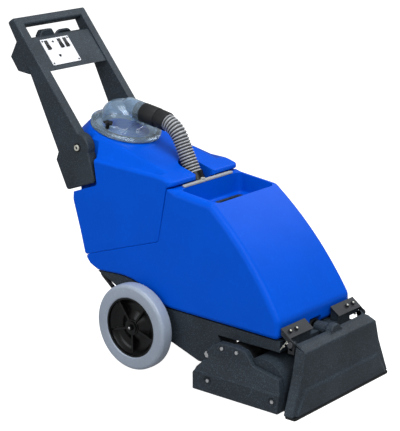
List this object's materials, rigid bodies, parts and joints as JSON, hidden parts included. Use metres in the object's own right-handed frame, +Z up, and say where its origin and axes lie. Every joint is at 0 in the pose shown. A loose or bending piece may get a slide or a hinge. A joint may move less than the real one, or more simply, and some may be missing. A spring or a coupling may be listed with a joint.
{
  "type": "walk-behind carpet cleaner",
  "caption": "Self-contained carpet extractor: two stacked tanks on a wheeled chassis, folding handle, brush head and vacuum shoe.",
  "frame": {"origin": "on the floor, under the middle of the bounding box", "axes": "+X forward to the vacuum shoe, +Y left, +Z up"},
  "size_m": [1.104, 0.453, 0.9379],
  "materials": {
    "blue_plastic": "moulded, low sheen",
    "black_plastic": "fine textured",
    "black_plate": "black coated plate",
    "tyre_grey": "smooth grey non-marking",
    "steel": "plain",
    "clear_plastic": "clear moulded plastic",
    "hose_grey": "ribbed, silver grey",
    "black_rubber": "plain",
    "foam_grey": "closed-cell foam",
    "white_plastic": "smooth",
    "nylon": "natural",
    "motor_metal": "satin",
    "pulley_metal": "turned",
    "bristle": "nylon strands"
  },
  "bodies": {
    "chassis": {"chassis": "black_plastic", "axle": "steel", "hub_bolt_left": "steel", "hub_bolt_right": "steel", "solution_tank": "blue_plastic", "recovery_tank": "blue_plastic", "retaining_bar": "steel", "dome_lid": "clear_plastic", "lid_gasket": "foam_grey", "inlet_spigot": "black_plastic", "hose_cuff": "black_plastic", "vacuum_hose": "hose_grey", "riser_pipe": "black_plastic", "shoe_hose": "black_rubber", "suction_pipe": "black_plastic", "vac_motor": "motor_metal", "pump": "motor_metal", "feed_hose": "black_rubber", "drain_spigot": "black_plastic", "pivot_bolt_left": "steel", "pivot_bolt_right": "steel", "shoe_bracket_left": "black_plate", "shoe_bracket_right": "black_plate", "bracket_bolts": "steel"},
    "wheel_left": {"tyre_left": "tyre_grey", "rim_left": "black_plastic", "bush_left": "nylon"},
    "wheel_right": {"tyre_right": "tyre_grey", "rim_right": "black_plastic", "bush_right": "nylon"},
    "handle": {"handle": "black_plastic", "console_cover": "black_plastic", "switch_plate": "white_plastic", "switch_bodies": "black_plastic", "inlet_block": "black_plastic", "cord_hook": "black_plastic"},
    "rocker_1": {"rocker_1": "black_plastic"},
    "rocker_2": {"rocker_2": "black_plastic"},
    "rocker_3": {"rocker_3": "black_plastic"},
    "lid_knob_left": {"lid_knob_left": "black_plastic"},
    "lid_knob_right": {"lid_knob_right": "black_plastic"},
    "strainer": {"fill_strainer": "black_plastic"},
    "drain_cap": {"drain_cap": "black_plastic"},
    "shoe": {"shoe": "black_plastic", "shoe_lip_front": "black_rubber", "shoe_lip_rear": "black_rubber", "slide_pin_left": "steel", "slide_pin_right": "steel"},
    "brush_head": {"brush_housing": "black_plastic", "belt_cover": "black_plastic", "cover_bolts": "steel", "head_pin_left": "steel", "head_pin_right": "steel", "brush_motor": "motor_metal", "drive_belt": "black_rubber", "spray_bar": "black_plastic"},
    "motor_pulley": {"motor_pulley": "pulley_metal"},
    "brush": {"brush_core": "black_plastic", "brush_bristles": "bristle"}
  },
  "joints": [
    {"name": "wheel_left_spin", "type": "hinge", "parent": "chassis", "child": "wheel_left", "pos_m": [-0.026, 0.198, 0.125], "axis": [0, 1, 0], "continuous": true},
    {"name": "wheel_right_spin", "type": "hinge", "parent": "chassis", "child": "wheel_right", "pos_m": [-0.026, -0.198, 0.125], "axis": [0, 1, 0], "continuous": true},
    {"name": "handle_fold", "type": "hinge", "parent": "chassis", "child": "handle", "pos_m": [-0.283, 0, 0.592], "axis": [0, 1, 0], "range_deg": [0, 80]},
    {"name": "rocker_1_tilt", "type": "hinge", "parent": "handle", "child": "rocker_1", "pos_m": [-0.46921, -0.075, 0.855], "axis": [0, 1, 0], "range_deg": [0, 14]},
    {"name": "rocker_2_tilt", "type": "hinge", "parent": "handle", "child": "rocker_2", "pos_m": [-0.46921, -0.022, 0.855], "axis": [0, 1, 0], "range_deg": [0, 14]},
    {"name": "rocker_3_tilt", "type": "hinge", "parent": "handle", "child": "rocker_3", "pos_m": [-0.46921, 0.001, 0.855], "axis": [0, 1, 0], "range_deg": [0, 14]},
    {"name": "lid_knob_left_turn", "type": "hinge", "parent": "chassis", "child": "lid_knob_left", "pos_m": [-0.231, 0.083, 0.62978], "axis": [0.2641, 0, 0.9645], "continuous": true},
    {"name": "lid_knob_right_turn", "type": "hinge", "parent": "chassis", "child": "lid_knob_right", "pos_m": [-0.231, -0.083, 0.62978], "axis": [0.2641, 0, 0.9645], "continuous": true},
    {"name": "strainer_lift", "type": "slide", "parent": "chassis", "child": "strainer", "axis": [0, 0, 1], "range_m": [0, 0.06]},
    {"name": "drain_cap_turn", "type": "hinge", "parent": "chassis", "child": "drain_cap", "pos_m": [-0.2555, 0, 0.319], "axis": [-0.9651, 0, -0.262], "range_deg": [0, 90]},
    {"name": "shoe_drop", "type": "slide", "parent": "chassis", "child": "shoe", "axis": [0, 0, 1], "range_m": [-0.012, 0]},
    {"name": "head_float", "type": "hinge", "parent": "chassis", "child": "brush_head", "pos_m": [0.236, 0, 0.103], "axis": [0, -1, 0], "range_deg": [0, 3.5]},
    {"name": "brush_spin", "type": "hinge", "parent": "brush_head", "child": "brush", "pos_m": [0.422, 0, 0.061], "axis": [0, 1, 0], "continuous": true},
    {"name": "motor_spin", "type": "hinge", "parent": "brush_head", "child": "motor_pulley", "pos_m": [0.312, -0.1985, 0.098], "axis": [0, 1, 0], "continuous": true}
  ],
  "couplings": [
    {"joint": "motor_spin", "follows": "brush_spin", "ratio": 1.5}
  ]
}
